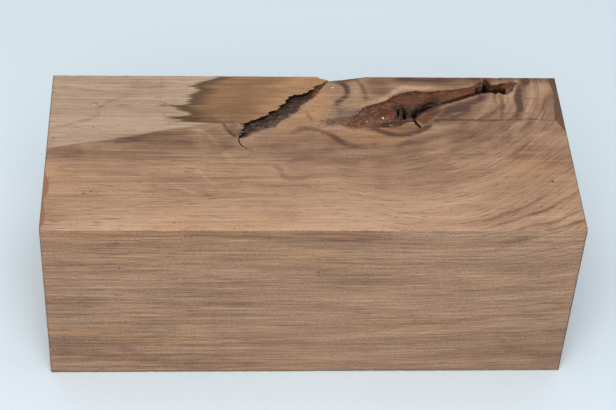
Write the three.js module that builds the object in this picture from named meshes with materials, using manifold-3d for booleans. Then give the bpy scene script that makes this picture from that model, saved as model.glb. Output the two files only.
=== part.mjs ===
// A walnut turning blank: one sawn block cut across a fork of the tree. Its top face opens a cleft with
// a torn far edge and a pocket of ingrown bark, and its back edge has a little wane where the cleft runs
// out. Millimetres, +Z up, X along the grain, origin at the middle of the underside.
import * as THREE from "three";
import { mergeVertices } from "three/addons/utils/BufferGeometryUtils.js";
import Module from "manifold-3d";

const wasm = await Module();
wasm.setup();

// The sawn block.
const LENGTH = 230;
const DEPTH = 100;
const HEIGHT = 90;
const BACK = DEPTH / 2;
const FRONT = -DEPTH / 2;

// How far a cutter stands out of a face that it opens, and how near two corners are one point.
const PROUD = 2;
const SAME_POINT = 1e-4;

// The cleft. Each station pairs a point of the torn far rim with a point of the smooth near rim, as x, y
// on the top face, from the back edge to the tip.
const CLEFT_STATIONS = [
  { far: [11.4, 48.8], near: [11.8, 48.5] },
  { far: [8.6, 46.1], near: [9.3, 45.4] },
  { far: [6.3, 44.3], near: [7.6, 42.8] },
  { far: [2.4, 41.6], near: [6.5, 40.3] },
  { far: [0.4, 40.0], near: [5.2, 37.6] },
  { far: [-2.2, 37.6], near: [3.2, 34.7] },
  { far: [-6.2, 37.0], near: [1.2, 32.4] },
  { far: [-8.8, 34.6], near: [-0.8, 30.3] },
  { far: [-10.0, 32.4], near: [-2.5, 28.0] },
  { far: [-10.8, 30.8], near: [-3.8, 25.8] },
  { far: [-14.0, 28.8], near: [-5.4, 23.8] },
  { far: [-14.6, 27.2], near: [-7.8, 21.9] },
  { far: [-16.8, 25.6], near: [-10.0, 20.0] },
  { far: [-17.5, 23.6], near: [-12.4, 17.6] },
  { far: [-19.8, 22.0], near: [-14.2, 14.6] },
  { far: [-24.2, 20.2], near: [-17.6, 12.6] },
  { far: [-27.0, 18.4], near: [-20.4, 12.2] },
  { far: [-28.8, 16.6], near: [-23.8, 10.2] },
  { far: [-29.8, 12.6], near: [-26.6, 8.6] },
  { far: [-31.0, 8.8], near: [-29.4, 7.5] },
  { far: [-31.5, 7.6], near: [-31.1, 7.3] },
];
const CREVICE_DEPTH = 7;
const CREVICE_LEAST_DEPTH = 1.2;
const CREVICE_WIDTH = 0.9;
const CREVICE_MOST_SHARE = 0.5; // of the cleft's width, where it is narrow
const CLEFT_UNDERCUT = new THREE.Vector2(-1.8, 2.0); // the crevice lies this far under the torn rim
const FLOOR_SHARE = 0.42; // of the crevice's depth, how deep the floor is beside it
const FLOOR_STEPS = 5;
const FLOOR_CURVE = 0.6; // below 1 the floor drops at the near rim and then runs on gently

// The hairline that leaves the cleft's tip.
const HAIRLINE = {
  path: [[-31.3, 7.9], [-31.2, 5.1], [-30, 2.5], [-27.4, 0.6]],
  halfWidth: 0.32,
  depth: 4,
};

// The wane: its rim on the top face, and how it runs out down the back face.
const WANE_RIM = [
  [4.2, 50.3], [6.6, 49], [9.9, 46.8], [13, 47], [16.4, 47.4], [20, 48.2], [25, 49.1], [29.8, 50.3],
];
const WANE_DEPTH = 46;
const WANE_DRIFT = new THREE.Vector2(5, 3.8);

// The notch where the seam of the bark pocket reaches the back edge.
const NOTCH_RIM = [[86.6, 50.4], [87.2, 49.6], [87.6, 48.8], [88.1, 49.5], [88.7, 50.4]];
const NOTCH_DEPTH = 9;
const NOTCH_DRIFT = new THREE.Vector2(0.6, 1.8);

// The bark pocket: the rim of its shallow part, near side then far side, worn to an uneven floor.
const POCKET_RIM = [
  [17.5, 16.6], [21, 15.2], [27, 15], [33, 14.8], [38.5, 15.4], [41.5, 17], [44, 18.5],
  [47.4, 19.4], [49.4, 22.2], [52, 25], [56, 27.4], [60, 29.8], [67.9, 33.2], [72.1, 35.3],
  [77.2, 37.4], [79.3, 39.1], [80.6, 43.4], [80.2, 46.8], [76.8, 43.8], [73.8, 42.5], [67, 40.8],
  [60, 40.2], [54.4, 39.4], [49.8, 40.1], [45.6, 39.1], [42.4, 38.1], [39.8, 37], [37.5, 34.8],
  [35.6, 32.9], [32.2, 31.4], [28.5, 29.9], [25.5, 28.7], [24, 26.6], [21.2, 22.6], [18.4, 19.4],
];
const POCKET_DEPTH = 1.9; // along the far side
const POCKET_NEAR_DEPTH = 0.35; // along the near side, where the bark comes up to the surface
const POCKET_SLOPE = 0.42; // the pocket climbs to the back as it runs right
const POCKET_NEAR_LINE = 7; // where its near side would cross the middle of the block's length
const POCKET_WIDTH = 15;
const POCKET_TAIL = [17, 34]; // the floor sinks from the left tip to its full depth between these
const POCKET_GRID = 2.4;
const RIDGE_HEIGHT = 0.4;
const RIDGE_SPACING = 9;
const RIDGE_SWAY = 0.8; // how far the ridges waver, in radians
const SWAY_RATE = 0.6; // wavers for each ridge spacing along the pocket
const LUMP_RATES = [0.7, 1.6]; // lumps for each ridge spacing, along and across

// The deep places in the pocket.
const POCKET_SLITS = [
  { path: [[43, 29.6], [43.4, 25.6], [42.9, 20.2]], halfWidth: 0.95, depth: 9 },
  { path: [[40.7, 28], [40.4, 24.8], [40, 21.8]], halfWidth: 0.55, depth: 5 },
  { path: [[46.9, 21.4], [48, 18], [49.6, 14.6]], halfWidth: 0.6, depth: 5 },
  { path: [[60.4, 31.8], [66, 34], [71, 36.3], [78.2, 39.4]], halfWidth: 1.25, depth: 10 },
  { path: [[78.4, 44.2], [78, 41.4], [78.4, 38.2]], halfWidth: 1.15, depth: 11 },
  { path: [[82.6, 48.6], [82.3, 46.4], [81.8, 44]], halfWidth: 1.1, depth: 9 },
  { path: [[91, 45.4], [90.6, 42], [90.4, 38.6]], halfWidth: 0.85, depth: 10 },
];
const POCKET_HOLLOW = [
  [45.8, 23.8], [46.4, 21.4], [47.8, 21.2], [48.8, 24], [52.4, 26.6], [55.8, 28.8], [58.2, 31],
  [57.8, 33], [55.4, 33.2], [52.8, 31.4], [50.6, 28.4], [47.2, 26.8],
];
const POCKET_HOLLOW_DEPTH = 6;
const END_CAVITY = [
  [77, 41], [77.4, 39], [78.4, 37.6], [79.7, 38.7], [81.4, 38.6], [84, 39.4], [86.1, 38.1], [87.4, 39.2],
  [89.5, 38], [91.4, 38.4], [91.6, 42], [91.4, 45.9], [89.5, 45.5], [87, 44.6], [84.9, 44.2], [84, 46],
  [82.6, 48.7], [81.2, 46.4], [79.4, 45], [77.6, 43.6],
];
const END_CAVITY_DEPTH = 5;
const END_LEDGE = [
  [90.6, 38.4], [92, 38.6], [93.7, 40.4], [95, 43.4], [96.8, 45.9], [95, 47], [92.5, 46.4], [90.6, 45.8],
];
const END_LEDGE_DEPTH = 2.4;

// How pits narrow to their floor, as a share of their mouth, and which way they lean.
const PIT_FLOOR_SHARE = 0.72;
const PIT_LEAN = new THREE.Vector2(0, 1.2);
const PIT_STEPS = 3;
const SLIT_STEPS = 12;
const SLIT_TIP_SHARE = 0.25; // a slit's width at its ends, as a share of its middle
const NOTCH_STEPS = 6;

// The pin hole in the front face.
const PIN_HOLE = { x: -82.3, z: 67, radius: 0.5, depth: 5, sides: 10 };

// A closed geometry as a solid that can be cut and joined.
function solidOf(geometry) {
  const bare = geometry.clone();
  bare.deleteAttribute("normal");
  bare.deleteAttribute("uv");
  const merged = mergeVertices(bare, SAME_POINT);
  const vertProperties = new Float32Array(merged.attributes.position.array);
  const triVerts = new Uint32Array(merged.index.array);
  return new wasm.Manifold(new wasm.Mesh({ numProp: 3, vertProperties, triVerts }));
}

// A solid back as a geometry.
function geometryOf(solid) {
  const { vertProperties, triVerts } = solid.getMesh();
  const geometry = new THREE.BufferGeometry();
  geometry.setAttribute("position", new THREE.BufferAttribute(vertProperties, 3));
  geometry.setIndex(new THREE.BufferAttribute(triVerts, 1));
  geometry.computeVertexNormals();
  return geometry;
}

// A closed geometry through a row of sections, each a ring of the same number of points.
function loft(sections) {
  const sides = sections[0].length;
  const last = (sections.length - 1) * sides;
  const index = [];
  for (let i = 0; i < last; i += sides) {
    for (let j = 0; j < sides; j++) {
      const next = (j + 1) % sides;
      index.push(i + j, i + next, i + sides + j);
      index.push(i + next, i + sides + next, i + sides + j);
    }
  }
  for (let j = 1; j < sides - 1; j++) {
    index.push(0, j + 1, j);
    index.push(last, last + j, last + j + 1);
  }
  return new THREE.BufferGeometry().setFromPoints(sections.flat()).setIndex(index);
}

// A pit sunk into the top face: its mouth is an outline, and it narrows and drifts on its way down.
function pit(outline, depth, { floorShare = 1, drift = new THREE.Vector2(), steps = PIT_STEPS } = {}) {
  const corners = outline.map(([x, y]) => new THREE.Vector2(x, y));
  const middle = corners.reduce((sum, p) => sum.add(p), new THREE.Vector2()).divideScalar(corners.length);
  const step = depth / steps;
  const geometry = new THREE.ExtrudeGeometry(new THREE.Shape(corners), {
    depth: depth + step,
    steps: steps + 1,
    bevelEnabled: false,
  });
  const place = geometry.attributes.position;
  for (let i = 0; i < place.count; i++) {
    const sunk = Math.max(0, depth - place.getZ(i)) / depth;
    const share = 1 - (1 - floorShare) * sunk;
    place.setXYZ(
      i,
      middle.x + (place.getX(i) - middle.x) * share + drift.x * sunk,
      middle.y + (place.getY(i) - middle.y) * share + drift.y * sunk,
      HEIGHT - depth + place.getZ(i),
    );
  }
  return solidOf(geometry);
}

// Rises from 0 at the start to 1 halfway and falls to 0 at the end, blunt at both ends.
function swelling(along) {
  return Math.sqrt(Math.max(0, Math.sin(Math.PI * along)));
}

// The outline of a slit along a path, pointed at both ends.
function slitOutline(path, halfWidth) {
  const curve = new THREE.SplineCurve(path.map(([x, y]) => new THREE.Vector2(x, y)));
  const left = [];
  const right = [];
  for (let i = 0; i <= SLIT_STEPS; i++) {
    const along = i / SLIT_STEPS;
    const at = curve.getPoint(along);
    const way = curve.getTangent(along);
    const half = halfWidth * THREE.MathUtils.lerp(SLIT_TIP_SHARE, 1, swelling(along));
    left.push([at.x - way.y * half, at.y + way.x * half]);
    right.unshift([at.x + way.y * half, at.y - way.x * half]);
  }
  return [...right, ...left];
}

function slit({ path, halfWidth, depth }) {
  return pit(slitOutline(path, halfWidth), depth, { drift: PIT_LEAN });
}

// The cleft: under each station a floor slopes from the near rim down to a crevice below the far rim.
function cleft() {
  const sections = CLEFT_STATIONS.map((station, i) => {
    const along = i / (CLEFT_STATIONS.length - 1);
    const depth = THREE.MathUtils.lerp(CREVICE_LEAST_DEPTH, CREVICE_DEPTH, swelling(along));
    const far = new THREE.Vector2(...station.far);
    const near = new THREE.Vector2(...station.near);
    const undercut = CLEFT_UNDERCUT.clone().multiplyScalar(depth / CREVICE_DEPTH);
    const crevice = far.clone().add(undercut);
    const width = near.distanceTo(crevice);
    const ring = [
      new THREE.Vector3(near.x, near.y, HEIGHT + PROUD),
      new THREE.Vector3(far.x, far.y, HEIGHT + PROUD),
      new THREE.Vector3(far.x, far.y, HEIGHT),
      new THREE.Vector3(crevice.x, crevice.y, HEIGHT - depth),
    ];
    const floorStart = Math.min(CREVICE_MOST_SHARE, CREVICE_WIDTH / width);
    for (let k = 0; k <= FLOOR_STEPS; k++) {
      const across = floorStart + (1 - floorStart) * (k / FLOOR_STEPS);
      const at = crevice.clone().lerp(near, across);
      const sunk = FLOOR_SHARE * depth * Math.pow(1 - k / FLOOR_STEPS, FLOOR_CURVE);
      ring.push(new THREE.Vector3(at.x, at.y, HEIGHT - sunk));
    }
    return ring;
  });
  return solidOf(loft(sections));
}

// A notch in the back edge: the rim closes outside the block, and the pit drifts out of it.
function edgeNotch(rim, depth, drift) {
  const curve = new THREE.SplineCurve(rim.map(([x, y]) => new THREE.Vector2(x, y)));
  const inside = curve.getPoints(NOTCH_STEPS * 2).map((p) => [p.x, p.y]);
  const outside = BACK + depth;
  const outline = [...inside, [rim.at(-1)[0], outside], [rim[0][0], outside]];
  return pit(outline, depth, { drift, steps: NOTCH_STEPS });
}

// How deep the worn bark lies below the top face.
function barkDepth(x, y) {
  const across = y - POCKET_NEAR_LINE - POCKET_SLOPE * x;
  const along = x + POCKET_SLOPE * y;
  const tail = THREE.MathUtils.smoothstep(x, ...POCKET_TAIL);
  const side = THREE.MathUtils.smoothstep(across, 0, POCKET_WIDTH);
  const turn = (2 * Math.PI) / RIDGE_SPACING;
  const ridges = Math.sin(turn * across + RIDGE_SWAY * Math.sin(SWAY_RATE * turn * along));
  const lumps = Math.sin(LUMP_RATES[0] * turn * along) * Math.cos(LUMP_RATES[1] * turn * across);
  const floor = THREE.MathUtils.lerp(POCKET_NEAR_DEPTH, POCKET_DEPTH, side * tail);
  return floor + RIDGE_HEIGHT * side * tail * (ridges + lumps) / 2;
}

// The shallow part of the pocket: its outline, down to the worn bark.
function pocket() {
  const walls = pit(POCKET_RIM, POCKET_DEPTH + 2 * RIDGE_HEIGHT, { steps: 1 });
  const xs = POCKET_RIM.map(([x]) => x);
  const ys = POCKET_RIM.map(([, y]) => y);
  const low = new THREE.Vector2(Math.min(...xs) - PROUD, Math.min(...ys) - PROUD);
  const size = new THREE.Vector2(Math.max(...xs) + PROUD, Math.max(...ys) + PROUD).sub(low);
  const slab = new THREE.BoxGeometry(
    size.x,
    size.y,
    2 * PROUD,
    Math.round(size.x / POCKET_GRID),
    Math.round(size.y / POCKET_GRID),
    1,
  );
  slab.translate(low.x + size.x / 2, low.y + size.y / 2, HEIGHT);
  const place = slab.attributes.position;
  for (let i = 0; i < place.count; i++) {
    if (place.getZ(i) < HEIGHT) place.setZ(i, HEIGHT - barkDepth(place.getX(i), place.getY(i)));
  }
  return walls.intersect(solidOf(slab));
}

function pinHole() {
  const { x, z, radius, depth, sides } = PIN_HOLE;
  const hole = new THREE.CylinderGeometry(radius, radius, depth + PROUD, sides);
  hole.translate(x, FRONT + (depth - PROUD) / 2, z);
  return solidOf(hole);
}

// The blank: the sawn block less everything that the fork, the bark and the insect left open.
function blank() {
  const block = new THREE.BoxGeometry(LENGTH, DEPTH, HEIGHT);
  block.translate(0, 0, HEIGHT / 2);
  const openings = [
    cleft(),
    slit(HAIRLINE),
    edgeNotch(WANE_RIM, WANE_DEPTH, WANE_DRIFT),
    edgeNotch(NOTCH_RIM, NOTCH_DEPTH, NOTCH_DRIFT),
    pocket(),
    ...POCKET_SLITS.map(slit),
    pit(POCKET_HOLLOW, POCKET_HOLLOW_DEPTH, { floorShare: PIT_FLOOR_SHARE, drift: PIT_LEAN }),
    pit(END_CAVITY, END_CAVITY_DEPTH, { floorShare: PIT_FLOOR_SHARE, drift: PIT_LEAN }),
    pit(END_LEDGE, END_LEDGE_DEPTH, { floorShare: PIT_FLOOR_SHARE }),
    pinHole(),
  ];
  const cut = openings.reduce((wood, opening) => wood.subtract(opening), solidOf(block));
  const walnut = new THREE.MeshStandardMaterial({
    color: "#a07d62",
    roughness: 0.62,
    metalness: 0,
    flatShading: true,
  });
  const mesh = new THREE.Mesh(geometryOf(cut), walnut);
  mesh.name = "walnut_blank";
  return mesh;
}

const part = new THREE.Group();
part.add(blank());

export default part;
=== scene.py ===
"""Looks of the walnut turning blank.

The sawn block is taken from the frame and refined where its surface is torn or crumbled. Its wood is one
solid field: growth layers nest round the fork, so the figure runs on from face to face, and listed strokes
add the streaks. Numbers are in millimetres unless a name or a comment says otherwise. X runs along
the grain, -Y is the front and +Z is up.
"""

import math

import bmesh
import bpy
import numpy as np
from mathutils import Matrix, Vector, kdtree, noise
from mathutils.geometry import delaunay_2d_cdt


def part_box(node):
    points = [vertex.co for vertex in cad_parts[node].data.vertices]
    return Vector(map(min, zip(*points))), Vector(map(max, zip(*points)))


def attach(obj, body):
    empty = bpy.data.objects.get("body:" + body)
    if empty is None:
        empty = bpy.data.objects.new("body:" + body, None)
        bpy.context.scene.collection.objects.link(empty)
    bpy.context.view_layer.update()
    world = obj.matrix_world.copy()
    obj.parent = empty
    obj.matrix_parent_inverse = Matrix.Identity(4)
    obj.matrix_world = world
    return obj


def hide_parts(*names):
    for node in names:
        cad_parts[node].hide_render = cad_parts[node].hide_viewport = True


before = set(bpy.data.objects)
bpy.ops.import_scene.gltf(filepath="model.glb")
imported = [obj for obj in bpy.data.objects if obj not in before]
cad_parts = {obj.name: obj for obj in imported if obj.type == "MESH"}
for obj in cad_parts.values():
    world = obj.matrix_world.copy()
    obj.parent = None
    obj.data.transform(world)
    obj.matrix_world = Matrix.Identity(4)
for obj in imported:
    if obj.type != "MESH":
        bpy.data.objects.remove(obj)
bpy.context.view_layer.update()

MM = 0.001
NODE = "walnut_blank"

# The sawn block, from the frame. Its planes are counted low X, Y, Z, then high X, Y, Z.
LOW = np.array(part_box(NODE)[0]) / MM
HIGH = np.array(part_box(NODE)[1]) / MM
TOP = HIGH[2]
PLANES = 6
FRONT_PLANE = 1
TOP_PLANE = 5
ON_FACE = 1e-3  # a point this near to a plane is on it
WELD = 5 * ON_FACE  # points of the sawn faces this near to each other are merged
SLIVER = 0.02  # the least length and the least gap that the mesh keeps
TINY = 1e-9  # keeps a divisor above zero

# How fine the mesh is: the longest edge in the openings and on the arrises, the net on the sawn faces, and
# how many of its steps a face takes at once away from the openings.
OPENING_EDGE = 0.7
ARRIS_EDGE = 1.2
NET_EDGE = 0.4
FINE_REACH = 2.0
CLOSEST = 0.8  # of the net, how near to an opening's rim its points come
TOP_STEPS = 2
FRONT_STEPS = 4
HIDDEN_STEPS = 8
MOST_PASSES = 9
SHARP_ANGLE = 38  # degrees

# Relief: how far it moves the surface, and the size of its cells along X, Y and Z. Tears are alike along X.
CLEFT_ROUGHNESS = 0.35
CLEFT_CELLS = (2.4, 1.6, 1.6)
BARK_ROUGHNESS = 0.5
BARK_CELLS = (1.5, 1.1, 1.1)
TEAR_LENGTH = 2.0
TEAR_CELLS = (1.0, 1.3, 6.0)
TEAR_REACH = 2.5
TEAR_DEPTH = 20.0
ARRIS_RADIUS = 0.45
ARRIS_WEAR = 0.15
WEAR_CELLS = (4.0, 4.0, 4.0)
FRACTAL = (0.7, 2.0, 3)  # how fast the finer noise fades, how much finer it gets, how many times
SEED_SHIFT = (17.3, 5.1, 11.7)
TEAR_SEED, CLEFT_SEED, BARK_SEED, WEAR_SEED = 1, 2, 3, 4

# Openings left of CLEFT_END_X are the cleft's, apart from the wane. The rest have bark, and so has the wane.
CLEFT_END_X = 14.0
CLEFT_TIP = (-30.0, 9.0)
CLEFT_SLOPE = 0.93  # the cleft climbs to the back as it runs right, and so does the pocket
POCKET_SLOPE = 0.42
POCKET_TAIL = (27.0, 18.0)  # the pocket's bark thins out between these places along X
WANE_FRONT = 46.6  # the wane lies behind this, between these places along X
WANE_REACH = (4.0, 37.0)

# The growth layers nest round the fork as stretched shells.
FORK = np.array([33.0, 48.0, 150.0])
STRETCH_RIGHT = 1.2
STRETCH_LEFT = 4.0
LAYER_SQUASH = 1.6
WANDER = (2.0, 1.2, 1.0)
WANDER_LENGTH = 60.0
WANDER_SEEDS = (0, 1, 2)
SWIRL_START = (-40.0, 15.0)
SWIRL_CLEAR = (26.0, 50.0)

# On the ends the growth rings lie round the pith, which is outside the block. Its place is y, z.
PITH = (-134.0, 23.0)
RING_WIDTH = 3.0
RING_SWAY = 1.5
RING_SEED = 9

# Sapwood lies behind this line of the top face, and sinks away to the back below it.
SAP_LINE = [
    (-116, -0.4), (-100, 4), (-88, 6), (-80, 8), (-70, 11), (-63, 13), (-55, 14.5), (-45, 17),
    (-38, 17.8), (-31, 17.4), (-28, 10), (-14, 20), (8, 42), (12, 54),
]
SAP_SINK = 0.5
SAP_SEED = 7

# The stain's left edge in the sapwood, with the tongues that run out along the grain.
STAIN_LINE = [
    (-39, 51), (-42, 48.5), (-46, 46), (-49, 44.4), (-55, 42.5), (-49.6, 41.4), (-49, 39), (-52.5, 36),
    (-54, 33.4), (-53, 31), (-55, 29.6), (-63, 28.8), (-57, 28), (-57.5, 26), (-54, 24.2), (-50, 23.2),
    (-61, 21), (-62, 20.4), (-53, 19.6), (-61, 18.4), (-50, 17.8), (-34, 17.4), (-30, 16),
]
STAIN_SINK = 0.08
STAIN_SEED = 8
SINK_SWAY = 4.0
SINK_SWAY_LENGTH = 34.0

# Each sway is a sum of so many waves, whose lengths spread between these shares of its own.
WAVE_COUNT = 10
WAVE_SPREAD = (0.7, 1.5)

# Streaks on the top face: points, half width, strength. Above zero darkens.
STREAKS = [
    ([(11.5, 47), (15.5, 45.3), (18, 42), (18, 38.5), (16.6, 35), (14, 32), (12.4, 28)], 1.4, 1.15),
    ([(23, 49), (25, 44.5), (26.6, 40), (26.6, 36), (25.6, 32.5)], 1.0, 0.6),
    ([(24, 14), (30, 12.4), (35, 10.6), (40, 10), (46, 11.2), (51, 13.6), (54, 17), (55, 20)], 1.4, 1.2),
    ([(56, 19.4), (70, 20), (90, 20.1), (112, 20.6)], 0.6, 0.8),
    ([(-9, 10.6), (-3, 13), (3.5, 12.8), (8.6, 9.4), (12.6, 5.6), (17.6, 3), (23.5, 1.4)], 1.3, 0.75),
    ([(102, 51), (100.6, 47), (98.5, 43), (97, 38), (96, 33), (96.2, 28), (94.6, 23), (90, 18)], 1.9, 1.4),
    ([(112.6, 42), (108.6, 33), (104.5, 26), (100, 19), (96, 13)], 2.2, 0.6),
    ([(-8, -5), (-6, -11), (-4, -15)], 6.0, 0.22),
    ([(-18, -9), (-14.4, -12.6), (-12.6, -17), (-7, -18.4), (0, -17)], 1.3, 0.4),
    ([(60, 26), (70, 30), (75, 32.6), (82, 38.4)], 2.0, 1.0),
    ([(56, 17.6), (60, 22), (64.6, 26), (70, 28.6)], 1.6, 1.0),
    ([(62, 20.8), (67, 22.4), (71, 25.6), (73.4, 29)], 1.5, 0.7),
    ([(85.4, 38.4), (85, 34), (85.6, 30)], 0.7, 0.6),
    ([(87.6, 39), (88.2, 32), (87.6, 27), (86.4, 20)], 0.8, 0.6),
    ([(75, 20), (80, 23), (84, 26), (89, 30)], 0.9, 0.35),
    ([(70, 11), (76, 9), (82, 8)], 3.4, 0.2),
    ([(37, 1), (43, 4.6), (50, 6.6), (60, 8.4)], 1.7, 0.5),
    ([(40, -8), (52, -5), (62, -1), (70, 5)], 1.6, 0.25),
    ([(20, -22), (34, -23), (48, -22), (60, -18), (72, -11)], 1.4, 0.18),
    ([(30, -47), (56, -46), (76, -43), (92, -39), (104, -33)], 2.6, 0.22),
    ([(70, -49), (90, -42), (104, -34), (118, -24)], 0.65, 0.7),
    ([(54, -47.6), (80, -41), (98, -31), (114, -18)], 0.6, 0.5),
    ([(94, -51), (106, -47.5), (120, -43)], 0.6, 0.7),
    ([(82, -50.5), (100, -45), (120, -36)], 0.65, 0.7),
    ([(-88, 5.6), (-80, 6.6), (-70, 9), (-60, 11), (-50, 12.6)], 2.4, 0.5),
    ([(-80, 3), (-64, 5), (-48, 6)], 3.4, 0.3),
    ([(-38, 18), (-36.6, 14), (-34.4, 10.4), (-32.6, 8.2)], 0.7, 0.9),
    ([(-31, 8), (-30.4, 12), (-28.6, 16.6)], 1.0, 0.9),
    ([(-1.4, 27), (-0.6, 23.5), (1, 19.5)], 0.8, 0.5),
    ([(-26, -22.6), (-12, -22.8), (0, -22.4)], 0.9, 0.4),
    (
        [
            (-118, 13), (-108, 15), (-102, 18), (-96, 20.5), (-93, 23), (-94, 26), (-91, 29.5), (-84, 34),
            (-78, 36),
        ],
        0.9,
        0.65,
    ),
    ([(-94, 28), (-88, 29), (-81, 29)], 0.9, 0.5),
    ([(-118, 41.6), (-105, 41.3), (-98, 39.4), (-90, 39.5)], 0.8, 0.6),
    ([(-98, 36.5), (-88, 36.8), (-74, 38.2)], 0.7, 0.45),
    ([(-112, 46.6), (-104, 48.4), (-96, 49)], 1.2, 0.35),
    ([(-66.6, 43), (-66.4, 47), (-66.6, 51)], 0.6, 0.4),
    ([(-107, 8.5), (-101, 8.8), (-95, 9.2)], 0.6, 0.5),
    ([(-66, 20.6), (-56, 20.8), (-48, 20.5), (-40, 20.2)], 1.2, 1.3),
    ([(-64, 18.3), (-56, 18.5), (-49, 18.6)], 0.7, 1.0),
    ([(-51, 17.6), (-42, 17.9), (-31, 18.3)], 0.7, 1.0),
    ([(-68, 28.7), (-60, 28.8), (-52, 28.6)], 0.7, 0.9),
    ([(-52, 12.4), (-46, 10), (-42, 5), (-38, -2), (-34, -9)], 1.1, -0.3),
    ([(-60, 13), (-54, 12.6), (-48, 12.4)], 0.8, -0.3),
    ([(-52, -12), (-46, -18), (-39, -24)], 0.7, -0.22),
    ([(-62, -20.6), (-55, -24.4), (-48, -29.4)], 0.7, -0.2),
    ([(73, 21), (77, 24), (80.6, 28), (83, 33), (84, 38.4)], 1.7, -0.35),
    ([(60, 22), (64, 24.4), (68, 27)], 1.3, -0.5),
    ([(97.6, 50), (95, 44), (93.4, 38), (92.4, 32)], 1.3, -0.55),
    ([(90.6, 37), (90, 33), (89.6, 29)], 0.8, -0.4),
    ([(108, 45), (103, 37), (100, 30), (97, 23), (92, 15), (86, 7)], 2.4, -0.25),
    ([(108, 14), (101, 8), (96, 2), (90, -4)], 0.9, -0.35),
    ([(24, 45), (23, 40), (21, 34)], 2.2, -0.25),
    ([(26, 30.6), (34, 34.4), (38, 38), (44, 41.6), (52, 41.6), (58, 43)], 1.5, -0.6),
    ([(56, 13), (62, 15.4), (68, 16)], 2.0, -0.3),
]
# The same on the front face, as x, z.
FRONT_STREAKS = [
    ([(-42, 73), (-30, 69), (-10, 66), (12, 65)], 2.2, 0.24),
    ([(-20, 81), (-5, 82), (20, 84)], 1.2, 0.1),
    ([(-90, 82), (-70, 82)], 1.4, 0.16),
    ([(-100, 67.5), (-70, 66), (-45, 62), (-20, 60)], 0.9, 0.22),
    ([(-112, 49), (-60, 46), (-20, 46)], 1.2, 0.18),
    ([(-124, 12), (-104, 9)], 10.0, 0.14),
    ([(-84, 19), (-74, 10), (-60, 7)], 2.6, 0.18),
    ([(86, 20), (92, 15), (104, 11), (116, 12)], 2.6, 0.22),
    ([(76, 79), (92, 87)], 1.6, 0.35),
    ([(84, 25), (104, 26), (116, 29)], 1.2, 0.3),
]

# How strokes are drawn: their sway, how deep they show under the top face in wood and in bark, how many
# steps each span of a path has, and how they fall off beside the path and at its ends.
STREAK_SWAY = 0.5
STREAK_SWAY_LENGTH = 14.0
STREAK_SEEDS = (5, 6)
STREAK_DEPTH = 4.0
BARK_DEPTH = 14.0
LEAST_MARK = 0.02
PATH_STEPS = 6
STROKE_REACH = 3
STROKE_FALL = 3
STROKE_END = 0.15
TIP_SHARE = 0.25

# Broad changes of tone on the top face, and on the front as x, z. Above zero darkens.
TONES = [
    ([(-122, -44), (-40, -45), (30, -42), (90, -40)], 12.0, -0.45),
    ([(-24, -20), (20, -22)], 8.0, -0.1),
    ([(24, -12), (44, -14), (64, -12)], 8.0, 0.25),
    ([(88, 3), (104, -4), (118, -4)], 9.0, 0.34),
    ([(-112, -9), (-70, -9)], 8.0, 0.12),
    ([(-100, -2), (-70, 2), (-48, 5)], 10.0, 0.2),
    ([(-20, 2), (0, -2), (30, -2), (60, 2)], 9.0, 0.24),
    ([(72, 13), (82, 10), (92, 10)], 10.0, 0.3),
    ([(70, 27), (86, 23)], 6.0, 0.2),
    ([(31, 50), (33, 44), (34, 37)], 5.0, 0.48),
    ([(38, 47), (50, 47), (62, 46.6), (72, 46.6), (84, 50)], 3.4, 0.46),
    ([(36, 48.4), (52, 49.4), (68, 50), (84, 50.4)], 2.6, 0.45),
    ([(-82, 44), (-72, 43.4), (-62, 42)], 4.0, 0.4),
    ([(6, 40), (4, 30), (0, 22)], 4.5, -0.3),
    ([(-24, 2), (-10, 6), (4, 3)], 7.0, 0.22),
    ([(60, 22), (66, 14), (69, 2), (72, -8)], 7.0, 0.36),
    ([(76, 50), (90, 51), (106, 50.5), (118, 48)], 4.0, 0.7),
    ([(110, 34), (111, 22), (108, 10)], 6.0, 0.28),
    ([(32, 14.6), (44, 14.6), (54, 18)], 3.4, 0.42),
    ([(-35, 17), (-33, 12), (-31.6, 7)], 2.8, 0.45),
    ([(-45, 14), (-40, 6), (-35, -2)], 5.5, 0.34),
    ([(-118, 2), (-108, -2), (-98, 1)], 6.5, 0.36),
    ([(-118, -19), (-92, -21), (-68, -29)], 7.5, -0.24),
    ([(-4, -10), (22, -11)], 6.0, 0.2),
    ([(0, -29), (26, -31)], 6.0, -0.14),
    ([(-24, -37), (-6, -41)], 5.0, 0.2),
    ([(60, -46), (92, -43)], 4.0, 0.14),
    ([(102, -44), (120, -37)], 5.0, -0.3),
    ([(-20, 45), (-22, 36)], 5.0, -0.3),
    ([(58, 21), (65, 27), (72, 32)], 4.0, 0.36),
    ([(84, 13), (91, 13), (98, 15)], 5.0, 0.36),
    ([(2, 1), (18, 3)], 4.0, 0.26),
    ([(-18, 2), (-4, 0)], 5.0, 0.16),
]
FRONT_TONES = [
    ([(-130, 88), (-60, 88), (0, 88), (40, 89)], 6.0, 0.25),
    ([(-124, 50), (-92, 44)], 9.0, 0.14),
    ([(36, 51), (98, 50)], 6.0, 0.12),
    ([(-66, 20), (-40, 20)], 8.0, -0.14),
    ([(100, 6), (118, 7)], 5.0, 0.16),
]

# Where the figure of the top face is quiet.
CALM = [
    ([(16, 42), (30, 43), (48, 46), (64, 47)], 7.0, 0.65),
    ([(7, 43), (4, 30), (2, 20)], 5.0, 0.55),
    ([(-118, -28), (-46, -28)], 14.0, 0.16),
]

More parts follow.
